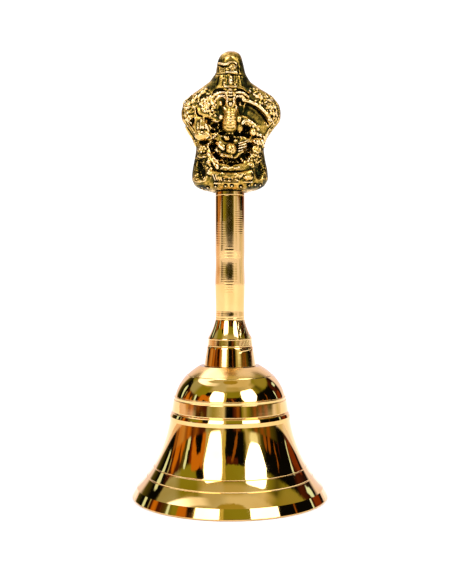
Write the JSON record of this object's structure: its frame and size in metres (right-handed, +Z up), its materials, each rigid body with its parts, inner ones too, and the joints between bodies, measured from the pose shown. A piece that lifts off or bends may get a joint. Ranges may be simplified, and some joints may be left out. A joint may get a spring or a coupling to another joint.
{
  "type": "hand bell",
  "caption": "Brass puja hand bell: flared turned cup, slim round handle, cast seated elephant-headed figure on top and a clapper hung from an eye bolt on a loose link.",
  "frame": {"origin": "centre of the mouth plane, where the bell stands", "axes": "+Z up the handle to the figure, the figure faces -Y, +X to the viewer's right"},
  "size_m": [0.066, 0.066, 0.151],
  "materials": {
    "polished_brass": "turned and mirror polished",
    "cast_brass": "cast and chased, polished high spots with dark patina in the recesses",
    "nut_brass": "machined, slightly dull",
    "clapper_brass": "turned, slightly dull",
    "steel": "plain bright wire and rod"
  },
  "bodies": {
    "bell": {"bell_cup": "polished_brass", "neck_collar": "polished_brass", "handle_ferrule": "polished_brass", "handle_shaft": "polished_brass", "finial_figure": "cast_brass", "finial_stud": "steel", "eye_bolt": "steel", "crown_washer": "steel", "crown_nut": "nut_brass"},
    "link": {"clapper_link": "steel"},
    "clapper": {"clapper_shank": "clapper_brass", "clapper_ball": "clapper_brass"}
  },
  "joints": [
    {"name": "link_swing", "type": "hinge", "parent": "bell", "child": "link", "pos_m": [0, 0, 0.0324], "axis": [0.7071, 0.7071, 0], "range_deg": [-29, 29]},
    {"name": "clapper_swing", "type": "hinge", "parent": "link", "child": "clapper", "pos_m": [0, 0, 0.027], "axis": [0.7071, -0.7071, 0], "range_deg": [-33.5, 33.5]}
  ]
}
